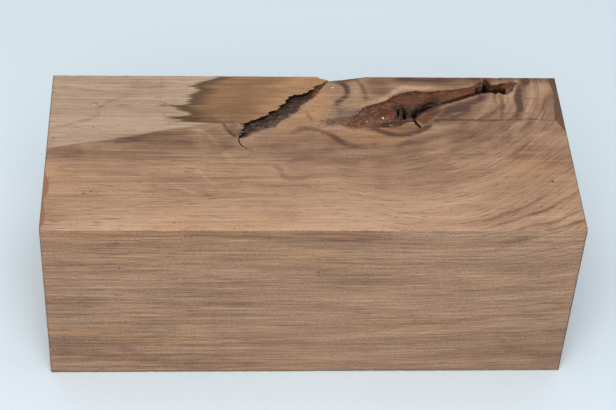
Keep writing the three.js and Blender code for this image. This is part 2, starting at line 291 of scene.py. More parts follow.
# Warmer wood on the top face, and on the front as x, z.
WARMTH = [
    ([(88, -2), (98, -10), (108, -18)], 8.0, 0.5),
    ([(70, 22.5), (77, 26)], 2.5, 0.3),
    ([(62, 23), (66, 25.5)], 1.8, 0.3),
    ([(26, 5), (34, 6), (46, 13)], 4.5, 0.5),
    ([(8, 40), (5, 31), (3, 23)], 4.0, 0.8),
    ([(-112, -15), (-100, -17)], 4.0, 0.5),
    ([(-14, 11), (-5, 17), (2, 25)], 4.5, 0.6),
    ([(4, 8), (18, 9.4), (34, 8)], 4.5, 0.6),
    ([(30, 14.4), (40, 13.6), (50, 16)], 2.5, 0.7),
    ([(-70, -47), (-40, -48), (-10, -47)], 4.0, 0.5),
]
FRONT_WARMTH = [
    ([(-116, 87), (-60, 87), (0, 86), (30, 88)], 2.4, 0.55),
    ([(-114, 75), (-80, 76), (-40, 77), (0, 76), (14, 73)], 4.0, 0.35),
    ([(-116, 29), (-95, 26), (-70, 22), (-42, 24)], 2.8, 0.5),
    ([(20, 28), (60, 31), (86, 36)], 1.8, 0.3),
    ([(-86, 6), (-72, 4)], 4.0, 0.3),
]

# Weathered grey beside the pocket and in it, with painted highlights in its hollow, rust in its bark,
# painted shade in the openings' hollows and crevices, and crumbs of bark that lie in the sawn surface.
GREYS = [
    ([(14, 30), (14, 26), (15, 22)], 2.6, 0.3),
    ([(6, 17.6), (10, 18.8), (14, 20), (18, 20.6)], 2.0, 0.55),
    ([(12, 24), (16, 25), (20, 25.4), (26, 27)], 2.6, 0.75),
    ([(17, 18), (24, 20), (30, 22)], 3.2, 0.12),
    # Painted highlights: this stroke paints the bright bluish-grey spots in the pocket's dark hollow as grey.
    ([(53, 29.8), (55, 30.8), (57, 31.6)], 1.5, 1.0),
    ([(92, 40.4), (93.4, 43), (95, 45.6)], 2.0, 0.9),
]
RUST = [
    ([(32, 26.4), (36, 26.4), (39, 25)], 2.8, 1.8),
    ([(43, 34.4), (47, 35), (50, 36)], 2.4, 1.0),
    ([(50, 34.5), (60, 37.2), (70, 40), (78, 42.6)], 2.6, 0.9),
    ([(49.5, 18), (52.5, 21.6), (56, 25.4)], 2.2, 0.7),
]
# Painted shade: dark strokes in the openings' hollows and slits and under the cleft's jagged far rim.
SHADE_STROKES = [
    ([(41, 32), (42, 26), (42.6, 19)], 3.0, 1.2),
    ([(45, 20), (49, 26), (55, 31), (62, 33.6)], 3.4, 1.3),
    ([(28, 16), (36, 17), (44, 19.6)], 1.8, 0.9),
    ([(78, 44), (79, 40), (78, 38)], 2.2, 0.7),
    ([(-30, 9), (-28.4, 13), (-25, 17.4)], 2.2, 1.0),
    ([(-26, 17), (-21, 19.6), (-16.6, 22.4), (-13.2, 26.6), (-9.4, 31), (-6, 35), (-1, 37.4)], 1.5, 0.9),
]
CRUMBS = [
    ([(5, 18.4), (11, 19), (15, 19.4), (22, 19.6), (30, 20)], 3.2, 1.0),
    ([(18, 17), (26, 16.4), (36, 16)], 1.6, 0.7),
    ([(49.5, 18), (52.5, 21.6), (56, 25.4), (59.5, 28.6)], 3.0, 1.2),
    ([(84, 46), (84.5, 48.4), (86.5, 50)], 1.6, 0.6),
    ([(76, 44.6), (79.5, 47.4), (82, 50)], 1.0, 0.5),
]

# The end sealer's lapped edge on the top face, as y, x, and how far it laps over the other edges.
SEAL_LEFT = [
    (-50.5, -114.8), (-46, -113.1), (-41, -112.8), (-36, -113.6), (-31.5, -114), (-27, -112.4),
    (-22, -112.3), (-17, -113.8), (-13, -115.6),
]
SEAL_RIGHT = [
    (10, 115.6), (15, 113.4), (21, 110.8), (26, 111.2), (33, 112.2), (38, 112.8), (44, 112.2),
    (50.5, 111.6),
]
SEAL_LAP = 0.4
OFF_BLOCK = 1.0  # past its ends, the lapped edge lies this far off the block

# Pale flecks and a small knot on the top face: place, radius, colour.
FLECK = (214, 192, 168)
KNOT = (92, 62, 48)
SPOTS = [
    ((11.8, 42.1), 0.65, FLECK),
    ((33.4, 21.6), 0.6, FLECK),
    ((25.9, 19.4), 0.45, FLECK),
    ((36.4, 16.8), 0.4, FLECK),
    ((104.0, -20.0), 0.8, KNOT),
]

# Colours, as the light of the photograph shows them on the top face.
HEART_DARK = (86, 62, 50)
HEART_MID = (132, 100, 78)
HEART_LIGHT = (167, 132, 105)
HEART_PALE = (186, 151, 124)
WARM = (255, 240, 214)
PORE = (78, 57, 48)
SAP_SHADE = (128, 102, 84)
SAP_LIGHT = (182, 155, 131)
STAIN = (149, 112, 80)
STAIN_PALE = (176, 134, 96)
STAIN_BAND = (141, 105, 77)
STAIN_DEEP = (88, 64, 45)
STAIN_SHADED = (150, 140, 128)
GREY_DARK = (82, 66, 55)
GREY_LIGHT = (138, 113, 98)
BARK_DARK = (48, 33, 26)
BARK_BROWN = (88, 53, 33)
BARK_TAN = (130, 90, 60)
BARK_RUST = (94, 49, 32)
BARK_ORANGE = (124, 74, 47)
# Painted shade for deep bark, the pocket's steep walls and the openings' hollows and crevices.
BARK_PAINTED_SHADE = (30, 21, 17)
CLEFT_FLOOR = (60, 39, 28)
CLEFT_GREY = (112, 91, 76)
# Painted shade for the cleft's deep parts and steep walls.
CLEFT_PAINTED_SHADE = (28, 21, 18)
SEALER = (140, 98, 71)
SEALER_THICK = (90, 62, 46)
WHITE = (255, 255, 255)
FLOOR = (217, 228, 235)

# Colour ramps: place, colour.
HEART_RAMP = [(0.0, HEART_DARK), (0.4, HEART_MID), (0.75, HEART_LIGHT), (1.0, HEART_PALE)]
SAP_RAMP = [(0.0, SAP_SHADE), (0.8, SAP_LIGHT)]
STAIN_RAMP = [
    (0.1, STAIN), (0.28, STAIN), (0.46, STAIN_BAND), (0.56, STAIN_BAND), (0.72, STAIN), (0.9, STAIN_PALE),
]
STAIN_SHADE_RAMP = [(0.1, STAIN_SHADED), (0.8, WHITE)]
BARK_RAMP = [(0.32, BARK_DARK), (0.45, BARK_BROWN), (0.64, BARK_TAN)]
RUST_RAMP = [(0.34, BARK_DARK), (0.48, BARK_RUST), (0.7, BARK_ORANGE)]
SEAM_RAMP = [(0.36, BARK_DARK), (0.46, BARK_RUST), (0.6, BARK_TAN)]
GREY_RAMP = [(0.3, GREY_DARK), (0.7, GREY_LIGHT)]
RING_RAMP = [(0.3, HEART_DARK), (0.48, HEART_MID), (0.7, HEART_LIGHT)]

# Noise that runs with the grain: length and width of its cells, detail, roughness.
BANDS = (160.0, 9.0, 3.0, 0.6)
PATCHES = (70.0, 16.0, 2.0, 0.5)
LINES = (60.0, 1.5, 2.0, 0.5)
FIBRES = (30.0, 0.7, 4.0, 0.7)
FLOW = (20.0, 0.55, 3.0, 0.65)
PORES = (8.0, 0.42, 1.0, 0.5)
SCRATCHES = (160.0, 0.4, 1.0, 0.5)
WORN = (12.0, 2.2, 3.0, 0.6)
BLOTCHES = (26.0, 4.5, 3.0, 0.6)
STAIN_TONGUES = (26.0, 3.4, 2.0, 0.5)
STAIN_JAGS = (14.0, 0.8, 4.0, 0.65)

# Other noise: cells in a millimetre along three ways, detail, roughness. Strands run down the pocket. Rings
# have detail and roughness alone.
MOTTLE = ((0.8, 1.3, 1.3), 2.0, 0.6)
GRIT = ((0.6, 0.8, 0.8), 3.0, 0.65)
LUMPS = ((0.13, 0.16, 0.16), 2.0, 0.5)
STRANDS = ((0.14, 0.8, 0.8), 4.0, 0.7)
SILT = ((0.5, 0.8, 0.8), 5.0, 0.75)
BRUSH_STROKES = ((1.0, 1.1, 0.03), 4.0, 0.65)
COAT = ((1.0, 0.06, 0.06), 2.0, 0.5)
RINGS = (3.0, 0.6)
NOISE_MIDDLE = 0.5

# From here to the studio, a pair is where a change starts and ends, and four numbers add what it gives
# there. A pair of shares or spreads is only what it gives. A weight or reach is how far noise swings a value.

# The figure of the wood, and how the figure, a level and the marks make up the tone of each wood.
BAND_WEIGHT = 0.6
PATCH_WEIGHT = 0.35
LINE_WEIGHT = 0.55
FIBRE_WEIGHT = 0.7
MOTTLE_WEIGHT = 0.4
FLOW_WEIGHT = 0.7
SCRATCH_WEIGHT = 0.2
SCRATCH_CUT = (0.63, 0.74)
PORE_CUT = (0.60, 0.70)
SWIRL_SHARE = 0.8  # what is left of the lines and the flow where the figure swirls
FRONT_FIGURE = (LOW[1] + 0.2, LOW[1] + 1.0, 1.5, 0.95)
STREAK_FIBRE_WEIGHT = 0.9
STREAK_RAGGED = (0.25, 0.75, 0.25, 1.5)
TONE_BLOTCHED = (0.3, 0.7, 0.5, 1.5)
HEART_TONE = (1.0, 0.62, -0.62)
SAP_TONE = (1.05, 0.62, -0.5)
SAP_EDGE_REACH = 1.2
SAP_EDGE = (-0.4, 0.6)
PORE_SHARES = (0.5, 0.3)  # in heartwood, in sapwood

# The stain, by the distance inside its edge.
TONGUE_REACH = 4.0
JAG_REACH = 13.0
STAIN_SWAY = 5.0
STAIN_WIDTH = 50.0
STAIN_EDGE = (12.0, 2.5, 0.0, 0.9)
STAIN_START = (-1.6, 1.8)

# Bark, which is smoother at the pocket's right and back.
BARK_LEVEL = 0.5
BARK_GRIT_WEIGHT = 0.6
BARK_STRAND_WEIGHT = 0.4
BARK_LUMP_WEIGHT = 0.3
SMOOTH_BARK_X = (36.0, 48.0)
SMOOTH_BARK_OVER = (3.0, 7.0)
SMOOTH_BARK_SHARE = 0.5
RUST_STRANDS = (0.3, 0.55, 0.4, 0.9)
GREY_GRIT = (0.2, 0.6, 0.5, 1.0)
BARK_GREY_SHARE = 0.8
CRUMB_GRIT_WEIGHT = 2.4
CRUMB_LUMP_WEIGHT = 1.4
CRUMB_CUT = (0.35, 0.7)
# How the painted shade in the openings crumbles along the bark, and how much of it shows.
SHADE_CRUMBLE = (0.62, 0.4, 0.4, 1.0)
SHADE_SHARE = 0.85

# The openings, by depth and by how level their surface is, with painted shade where they are deep or steep.
# The second share or spread is the pocket's tail's.
STEEP = (0.75, 0.25)
UPWARD = (0.1, 0.5)
LIP_SHADE_SHARES = (0.05, 0.1)
BARK_SHADOW = (2.4, 5.0)
BARK_SPREADS = (0.7, 3.6)  # how far bark lies over the sawn wood
BARK_SPREAD_REACH = 1.8
CLEFT_SHADOW = (2.8, 5.0)
CLEFT_DUST = (-2.0, -16.0, 0.25, 1.0)  # along X
DUST_CUT = (0.42, 0.66)
RIM_REACH = 2.4
RIM_DEPTH = (1.3, 0.3)
# Painted shade in the hairline slit in front of the cleft's tip, as dark heartwood.
HAIRLINE_SHADE = (CLEFT_TIP[1], CLEFT_TIP[1] - 1.0)  # along Y
SEAM = (1.5, 4.0)  # along X, where bark flakes start to fill the cleft
SEAM_LINE = (-2.2, -1.6)  # in front of this the seam stays open
SEAM_REACH = 2.0
SPOT_DEPTH = (4.0, 3.0)
SPOT_CORE = 0.5

# The end sealer, whose thick coat is on the right.
END_SKIN = (HIGH[0] - 0.7, HIGH[0] - 0.2)
SEAL_REACH = 0.4
SEAL_EDGE = (-0.15, 0.2)
THICK_COAT = (-1.0, 1.0)
STROKE_SHARE = 0.5
COAT_SHARE = 0.5
SEAL_COVER = (0.36, 0.6, 0.6, 0.9)
LAP_COVER = 0.85

# Gloss, and the fine relief of the sawn faces.
DRY_ROUGHNESS = (0.3, 0.7, 0.58, 0.74)
SEALER_GLOSS = 0.26
WOOD_SPECULAR = 0.3
FIBRE_RELIEF = 0.5
PORE_RELIEF = -0.6
RELIEF_DEPTH = 0.12
RELIEF_STRENGTH = 0.6

# The studio, in metres and watts: an even pale sky, a large soft light overhead and one from the front.
SKY = (0.94, 0.98, 1.0, 1.0)
SKY_STRENGTH = 0.42
LIGHTS = [("overhead", (0.0, 0.3, 1.6), 1.4, 6.0), ("front", (-0.1, -0.75, 1.0), 0.9, 12.0)]
FLOOR_HALF = 4.0
FLOOR_ROUGHNESS = 0.9
FLOOR_SPECULAR = 0.1

# The camera, from the block's corners in the photograph. Its angles are in degrees.
PHOTO_WIDTH = 616  # pixels
FOCAL_LENGTH = 1788.5  # pixels
CAMERA_PLACE = (-48.1, -579.6, 613.9)
CAMERA_YAW = -4.766
CAMERA_PITCH = 46.213
CAMERA_ROLL = 3.376
SENSOR_WIDTH = 36.0
LENS = SENSOR_WIDTH * FOCAL_LENGTH / PHOTO_WIDTH


def linear(color):
    """A colour of 0 to 255 as the shader's linear values, by the sRGB curve, with alpha."""
    parts = [c / 255 for c in color]
    return tuple(c / 12.92 if c <= 0.04045 else ((c + 0.055) / 1.055) ** 2.4 for c in parts) + (1.0,)


def smoothstep(low, high, x):
    t = np.clip((x - low) / (high - low), 0, 1)
    return t * t * (3 - 2 * t)


# The mesh


def on_planes(co):
    """For each point, which of the six sawn planes it lies on."""
    return np.hstack([np.abs(co - LOW) < ON_FACE, np.abs(co - HIGH) < ON_FACE])


def places(bm):
    return np.array([v.co for v in bm.verts])


def frame_solid():
    """The frame's solid in millimetres, with its shared points merged."""
    bm = bmesh.new()
    bm.from_mesh(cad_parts[NODE].data)
    bmesh.ops.scale(bm, vec=(1 / MM,) * 3, verts=bm.verts)
    bmesh.ops.remove_doubles(bm, verts=bm.verts, dist=ON_FACE)
    bmesh.ops.dissolve_degenerate(bm, dist=SLIVER, edges=bm.edges)
    bmesh.ops.triangulate(bm, faces=bm.faces)
    co = places(bm)
    for plane in (LOW, HIGH):
        co = np.where(np.abs(co - plane) < SLIVER, plane, co)
    for v, place in zip(bm.verts, co):
        v.co = place
    return bm


def split_long_edges(bm, limit):
    """Halves the edges over the limit, the longest first, with the triangles beside them."""
    for _ in range(MOST_PASSES):
        long = [(e.calc_length(), e) for e in bm.edges if e.calc_length() > limit]
        for _, edge in sorted(long, key=lambda pair: -pair[0]):
            faces = [(f, next(v for v in f.verts if v not in edge.verts)) for f in edge.link_faces]
            middle = bmesh.utils.edge_split(edge, edge.verts[0], 0.5)[1]
            for face, corner in faces:
                bmesh.utils.face_split(face, middle, corner)


def straight_edges(bm):
    """The solid's edges between two sawn planes, each cut into even lengths."""
    bm.verts.index_update()
    planes = on_planes(places(bm))
    pieces = []
    for e in bm.edges:
        a, b = e.verts
        if (planes[a.index] & planes[b.index]).sum() > 1:
            count = math.ceil(e.calc_length() / ARRIS_EDGE)
            share = np.linspace(0, 1, count + 1)[:, None]
            points = np.array(a.co) * (1 - share) + np.array(b.co) * share
            pieces += list(zip(points, points[1:]))
    return pieces


def inside_outline(points, edges):
    """Whether each 2-D point is inside the closed outlines that the edges make."""
    crossings = np.zeros(len(points), int)
    for (ax, ay), (bx, by) in edges:
        if ay != by:
            spans = (points[:, 1] > min(ay, by)) & (points[:, 1] <= max(ay, by))
            crossings += spans & (ax + (points[:, 1] - ay) / (by - ay) * (bx - ax) > points[:, 0])
    return crossings % 2 == 1


def face_net(plane, arrises, rims, gap_of):
    """A sawn face as points and triangles: a regular net, closer where it nears an opening."""
    axis = plane % 3
    across = [i for i in range(3) if i != axis]
    level = (LOW if plane < 3 else HIGH)[axis]
    coarse = {TOP_PLANE: TOP_STEPS, FRONT_PLANE: FRONT_STEPS}.get(plane, HIDDEN_STEPS)
    outline = [(a[across], b[across]) for a, b in arrises + rims]
    rim = np.array([end for edge in outline for end in edge])
    openings = rim[2 * len(arrises):]

    def lift(spot):
        return np.insert(spot, axis, level)

    counts = [math.ceil((HIGH[i] - LOW[i]) / NET_EDGE) for i in across]
    u, v = np.meshgrid(*(np.arange(1, n) for n in counts), indexing="ij")
    net = np.stack([u, v], -1).reshape(-1, 2)
    spots = LOW[across] + net * (HIGH - LOW)[across] / counts
    keep = (net % coarse == 0).all(1)
    if len(openings):
        near = ((spots > openings.min(0) - FINE_REACH) & (spots < openings.max(0) + FINE_REACH)).all(1)
        at = np.flatnonzero(near)
        gaps = np.array([gap_of(lift(spot)) for spot in spots[at]])
        keep[at] = (keep[at] & (gaps > NET_EDGE)) | ((gaps > CLOSEST * NET_EDGE) & (gaps < FINE_REACH))
    points = np.vstack([rim, spots[keep]])
    links = [(2 * i, 2 * i + 1) for i in range(len(outline))]
    done = delaunay_2d_cdt([Vector(p) for p in points], links, [], 0, ON_FACE)
    flat = np.array([tuple(p) for p in done[0]])
    triangles = np.array(done[2])
    if len(openings):
        triangles = triangles[inside_outline(flat[triangles].mean(1), outline)]
    return np.insert(flat, axis, level, axis=1), triangles


def refined_block():
    """The frame's solid as a fine mesh, in millimetres, and each point's distance from the openings."""
    bm = frame_solid()
    arrises = straight_edges(bm)
    planes = on_planes(places(bm))
    sawn = [f for f in bm.faces if np.logical_and.reduce([planes[v.index] for v in f.verts]).any()]
    bmesh.ops.delete(bm, geom=sawn, context="FACES")
    split_long_edges(bm, OPENING_EDGE)
    walls = places(bm)
    tree = kdtree.KDTree(len(walls))
    for i, place in enumerate(walls):
        tree.insert(place, i)
    tree.balance()

    def gap_of(place):
        return tree.find(place)[2]

    rims = [tuple(np.array(v.co) for v in e.verts) for e in bm.edges if len(e.link_faces) == 1]
    for plane in range(PLANES):
        on_plane = [[e for e in edges if on_planes(np.array(e))[:, plane].all()] for edges in (arrises, rims)]
        points, triangles = face_net(plane, *on_plane, gap_of)
        made = [bm.verts.new(p) for p in points]
        for triangle in triangles:
            bm.faces.new([made[i] for i in triangle])
    on_sawn = on_planes(places(bm)).any(1)
    bmesh.ops.remove_doubles(bm, verts=[v for v, on in zip(bm.verts, on_sawn) if on], dist=WELD)
    bmesh.ops.delete(bm, geom=[v for v in bm.verts if not v.link_faces], context="VERTS")
    bmesh.ops.holes_fill(bm, edges=[e for e in bm.edges if e.is_boundary])
    bmesh.ops.triangulate(bm, faces=[f for f in bm.faces if len(f.verts) > 3])
    bmesh.ops.recalc_face_normals(bm, faces=bm.faces)
    if bm.calc_volume(signed=True) < 0:
        bmesh.ops.reverse_faces(bm, faces=bm.faces)
    return bm, np.array([gap_of(v.co) for v in bm.verts])


def rough(co, cells, seed):
    """Noise of about -1 to 1 at each point, with cells of the given size along X, Y and Z."""
    shift = Vector([seed * step for step in SEED_SHIFT])
    size = Vector(cells)
    spots = [Vector((x / size.x, y / size.y, z / size.z)) + shift for x, y, z in co]
    return np.array([noise.fractal(spot, *FRACTAL) for spot in spots])


def weather(bm, gaps):
    """Tears the cleft's rim along the grain, roughens the openings and wears the arrises.

    It returns where the points were before, and which of them are in the openings.
    """
    bm.normal_update()
    co = places(bm)
    normals = np.array([v.normal for v in bm.verts])
    inner = ~on_planes(co).any(1)
    cleft = co[:, 0] < CLEFT_END_X
    moved = co.copy()

    behind = (co[:, 1] - CLEFT_TIP[1]) - CLEFT_SLOPE * (co[:, 0] - CLEFT_TIP[0])
    torn = np.flatnonzero(cleft & (gaps < TEAR_REACH) & (behind > 0) & (co[:, 2] > TOP - TEAR_DEPTH))
    pull = (1 - smoothstep(0, TEAR_REACH, gaps[torn])) * smoothstep(0, TEAR_REACH, behind[torn])
    moved[torn, 0] += TEAR_LENGTH * pull * rough(co[torn] * (0, 1, 1), TEAR_CELLS, TEAR_SEED)

    for where, amount, cells, seed in (
        (inner & cleft, CLEFT_ROUGHNESS, CLEFT_CELLS, CLEFT_SEED),
        (inner & ~cleft, BARK_ROUGHNESS, BARK_CELLS, BARK_SEED),
    ):
        at = np.flatnonzero(where)
        moved[at] += normals[at] * (amount * rough(co[at], cells, seed))[:, None]
    moved[inner] = np.minimum(moved[inner], HIGH - SLIVER)

    outside = np.flatnonzero(~inner)
    core = np.clip(moved[outside], LOW + ARRIS_RADIUS, HIGH - ARRIS_RADIUS)
    off = moved[outside] - core
    reach = np.linalg.norm(off, axis=1)
    edge = (np.abs(off) > ON_FACE).sum(1) > 1
    wear = np.zeros(len(outside))
    wear[edge] = ARRIS_WEAR * np.clip(rough(co[outside][edge], WEAR_CELLS, WEAR_SEED), 0, 1)
    radius = np.where(edge, ARRIS_RADIUS - wear, reach)
    moved[outside] = core + off * (radius / np.maximum(reach, TINY))[:, None]

    for v, place in zip(bm.verts, moved):
        v.co = place
    return co, inner


# The wood's fields


def waves(co, wavelength, seed):
    """A smooth random field of about -1 to 1, as a sum of seeded plane waves."""
    rng = np.random.default_rng(seed)
    ways = rng.normal(size=(WAVE_COUNT, 3))
    ways /= np.linalg.norm(ways, axis=1)[:, None]
    rates = 2 * math.pi / (wavelength * rng.uniform(*WAVE_SPREAD, WAVE_COUNT))
    phases = rng.uniform(0, 2 * math.pi, WAVE_COUNT)
    return np.sin(co @ (ways * rates[:, None]).T + phases).sum(1) / math.sqrt(WAVE_COUNT)


def growth(co):
    """How far out in the growth layers each point is, and how far along the grain."""
    drift = [size * waves(co, WANDER_LENGTH, seed) for size, seed in zip(WANDER, WANDER_SEEDS)]
    from_fork = co + np.stack(drift, 1) - FORK
    stretch = np.where(from_fork[:, 0] > 0, STRETCH_RIGHT, STRETCH_LEFT)
    along = from_fork[:, 0] / stretch
    around = np.hypot(from_fork[:, 1], LAYER_SQUASH * from_fork[:, 2])
    layer = np.hypot(along, around)
    return layer, layer * np.arctan2(along, around) * stretch


def swirl(co):
    """Where the figure follows the growth layers: from SWIRL_START to the right, clear of the fork."""
    from_fork = co - FORK
    clear = np.hypot(from_fork[:, 0] / STRETCH_RIGHT, from_fork[:, 1])
    return smoothstep(*SWIRL_START, co[:, 0]) * smoothstep(*SWIRL_CLEAR, clear)


def rings(co):
    """How many growth rings out from the pith each point is."""
    around = np.hypot(co[:, 1] - PITH[0], co[:, 2] - PITH[1])
    return (around + RING_SWAY * waves(co, WANDER_LENGTH, RING_SEED)) / RING_WIDTH


def smooth_path(points):
    """Points along a smooth curve through the given ones."""
    p = np.array(points, float)
    p = np.vstack([2 * p[0] - p[1], p, 2 * p[-1] - p[-2]])
    t = np.linspace(0, 1, PATH_STEPS, endpoint=False)[:, None]
    spans = []
    for a, b, c, d in zip(p, p[1:], p[2:], p[3:]):
        square = 2 * a - 5 * b + 4 * c - d
        cube = 3 * b - a - 3 * c + d
        spans.append(0.5 * (2 * b + (c - a) * t + square * t**2 + cube * t**3))
    return np.vstack(spans + [p[-2:-1]])


def path_distance(xy, path):
    """Each point's distance from a path, and how far along the path its nearest place is, 0 to 1."""
    best = np.full(len(xy), np.inf)
    along = np.zeros(len(xy))
    count = len(path) - 1
    for i, (a, b) in enumerate(zip(path, path[1:])):
        way = b - a
        t = np.clip((xy - a) @ way / max(way @ way, TINY), 0, 1)
        gap = np.linalg.norm(xy - a - t[:, None] * way, axis=1)
        nearer = gap < best
        best[nearer] = gap[nearer]
        along[nearer] = (i + t[nearer]) / count
    return best, along


def marks(co, strokes, fade, across):
    """What the strokes give each point.

    It is full on a stroke's path, falls off beside it and at its ends, and is scaled by fade. The strokes
    are drawn along X and the axis that across counts.
    """
    total = np.zeros(len(co))
    sway = np.stack([waves(co, STREAK_SWAY_LENGTH, seed) for seed in STREAK_SEEDS], 1)
    flat = co[:, [0, across]] + STREAK_SWAY * sway
    for points, half_width, strength in strokes:
        path = smooth_path(points)
        reach = STROKE_REACH * half_width
        near = ((flat > path.min(0) - reach) & (flat < path.max(0) + reach)).all(1)
        at = np.flatnonzero(near & (fade > LEAST_MARK))
        gap, along = path_distance(flat[at], path)
        ends = smoothstep(0, STROKE_END, along) * (1 - smoothstep(1 - STROKE_END, 1, along))
        fall = np.exp(-((gap / half_width) ** STROKE_FALL))
        total[at] += strength * fall * (TIP_SHARE + (1 - TIP_SHARE) * ends) * fade[at]
    return total


def on_front(co):
    return (co[:, 1] < LOW[1] + ON_FACE) & (co[:, 2] < TOP - ON_FACE)


def top_marks(co, strokes):
    below = np.where(on_front(co), np.inf, TOP - co[:, 2])
    return marks(co, strokes, np.exp(-below / STREAK_DEPTH), across=1)


def bark_marks(co, strokes):
    return marks(co, strokes, np.exp((co[:, 2] - TOP) / BARK_DEPTH), across=1)


def front_marks(co, strokes):
    return marks(co, strokes, on_front(co).astype(float), across=2)


def sealed(co):
    """Distance inside the end sealer: the ends, and where it laps on to the top."""
    off_left = LOW[0] - OFF_BLOCK
    off_right = HIGH[0] + OFF_BLOCK
    left = np.interp(co[:, 1], *zip(*SEAL_LEFT), left=off_left, right=off_left)
    right = np.interp(co[:, 1], *zip(*SEAL_RIGHT), left=off_right, right=off_right)
    on_top = np.maximum(left - co[:, 0], co[:, 0] - right)
    lap = np.maximum(LOW[0] - co[:, 0], co[:, 0] - HIGH[0]) + SEAL_LAP
    return np.where(co[:, 2] > TOP - ON_FACE, on_top, lap)


def sunk(co, share, seed):
    """How far a line of the top face has moved at each point's depth: a share of it, with a slow sway."""
    depth = TOP - co[:, 2]
    sway = SINK_SWAY * smoothstep(0, SINK_SWAY_LENGTH, depth) * waves(co, SINK_SWAY_LENGTH, seed)
    return share * depth + sway


def sapwood(co):
    """Distance behind the sapwood's line."""
    xs, ys = zip(*SAP_LINE)
    return co[:, 1] - np.interp(co[:, 0], xs, ys) - sunk(co, SAP_SINK, SAP_SEED)


def stain(co):
    """Distance inside the stain's left edge."""
    xs, ys = zip(*reversed(STAIN_LINE))
    return co[:, 0] - np.interp(co[:, 1], ys, xs) - sunk(co, STAIN_SINK, STAIN_SEED)


# Material graphs


class Graph:
    """Short names for the nodes of one material."""

    def __init__(self, name):
        self.material = bpy.data.materials.new(name)
        self.material.use_nodes = True
        self.nodes = self.material.node_tree.nodes
        self.links = self.material.node_tree.links
        self.shader = self.nodes["Principled BSDF"]

    def link(self, value, socket):
        if isinstance(value, bpy.types.NodeSocket):
            self.links.new(value, socket)
        else:
            socket.default_value = value

    def node(self, kind, values, output=0, **settings):
        made = self.nodes.new(kind)
        for key, value in settings.items():
            setattr(made, key, value)
        for key, value in values.items():
            self.link(value, made.inputs[key])
        return made.outputs[output]

    def field(self, name):
        """A number that the mesh carries at each point."""
        return self.node("ShaderNodeAttribute", {}, "Fac", attribute_name=name)

    def math(self, operation, a, b=0.0, clamp=False):
        return self.node("ShaderNodeMath", {0: a, 1: b}, operation=operation, use_clamp=clamp)

    def add(self, a, b):
        return self.math("ADD", a, b)

    def minus(self, a, b, clamp=False):
        return self.math("SUBTRACT", a, b, clamp)

    def times(self, a, b, clamp=False):
        return self.math("MULTIPLY", a, b, clamp)

    def larger(self, a, b):
        return self.math("MAXIMUM", a, b)

    def smaller(self, a, b):
        return self.math("MINIMUM", a, b)

    def step(self, value, low, high, to_low=0.0, to_high=1.0):
        """A smooth ramp of value from low to high."""
        return self.node(
            "ShaderNodeMapRange",
            {"Value": value, "From Min": low, "From Max": high, "To Min": to_low, "To Max": to_high},
            interpolation_type="SMOOTHSTEP",
        )

    def blend(self, factor, a, b):
        """The number a where factor is 0, b where it is 1."""
        return self.node("ShaderNodeMix", {0: factor, 2: a, 3: b})

    def mix(self, factor, a, b, blend="MIX"):
        """The colour a where factor is 0, b where it is 1."""
        values = {0: factor, 6: a, 7: b}
        return self.node("ShaderNodeMix", values, 2, data_type="RGBA", blend_type=blend, clamp_factor=True)

    def vector(self, x, y=0.0, z=0.0):
        return self.node("ShaderNodeCombineXYZ", {0: x, 1: y, 2: z})

    def noise(self, vector, detail, roughness):
        values = {"Vector": vector, "Scale": 1.0, "Detail": detail, "Roughness": roughness}
        return self.node("ShaderNodeTexNoise", values, "Fac")

    def ramp(self, value, stops):
        made = self.nodes.new("ShaderNodeValToRGB")
        elements = made.color_ramp.elements
        while len(elements) < len(stops):
            elements.new(0.5)
        for element, (place, color) in zip(elements, stops):
            element.position = place
            element.color = linear(color)
        self.link(value, made.inputs[0])
        return made.outputs[0]

    def bump(self, height, distance, strength):
        return self.node("ShaderNodeBump", {"Height": height, "Distance": distance, "Strength": strength})


class Wood(Graph):
    """The walnut's graph, with places in millimetres and the textures that its parts share."""

    def __init__(self, name):
        super().__init__(name)
        place = self.node("ShaderNodeTexCoord", {}, "Object")
        metres = [self.node("ShaderNodeSeparateXYZ", {0: place}, axis) for axis in range(3)]
        self.place = [self.times(part, 1 / MM) for part in metres]
        self.x, self.y, self.z = self.place
        self.depth = self.minus(TOP, self.z)
        self.fibre = self.straight(*FIBRES)
        self.patch = self.straight(*PATCHES)
        self.pore = self.step(self.grain(*PORES), *PORE_CUT)
        self.grit = self.cells(self.place, *GRIT)
        self.lumps = self.cells(self.place, *LUMPS)

        down_pocket = self.add(self.x, self.times(self.y, POCKET_SLOPE))
        over_pocket = self.add(self.y, self.times(self.x, -POCKET_SLOPE))
        self.strand = self.cells((down_pocket, over_pocket, self.z), *STRANDS)
        smooth = self.times(self.step(self.x, *SMOOTH_BARK_X), self.step(over_pocket, *SMOOTH_BARK_OVER))
        speckle = self.centred(self.grit, BARK_GRIT_WEIGHT)
        speckle = self.times(speckle, self.step(smooth, 0.0, 1.0, 1.0, SMOOTH_BARK_SHARE))
        coarse = self.add(
            self.centred(self.strand, BARK_STRAND_WEIGHT), self.centred(self.lumps, BARK_LUMP_WEIGHT)
        )
        self.crumble = self.add(self.add(speckle, BARK_LEVEL), coarse)

    def centred(self, value, amount):
        """Noise as a swing round zero."""
        return self.times(self.minus(value, NOISE_MIDDLE), amount)

    def cells(self, places, rates, detail, roughness):
        """Noise with so many cells in a millimetre along each of the given places."""
        scaled = [self.times(place, rate) for place, rate in zip(places, rates)]
        return self.noise(self.vector(*scaled), detail, roughness)

    def straight(self, length, width, detail, roughness):
        """Noise drawn out along X, with cells of about that length and width."""
        return self.cells(self.place, (1 / length, 1 / width, 1 / width), detail, roughness)

    def flowing(self, length, width, detail, roughness):
        """Noise drawn out along the growth layers."""
        places = (self.field("along"), self.field("layer"))
        return self.cells(places, (1 / length, 1 / width), detail, roughness)

    def grain(self, *texture):
        """Straight noise that turns into flowing noise where the figure swirls."""
        return self.blend(self.field("swirl"), self.straight(*texture), self.flowing(*texture))


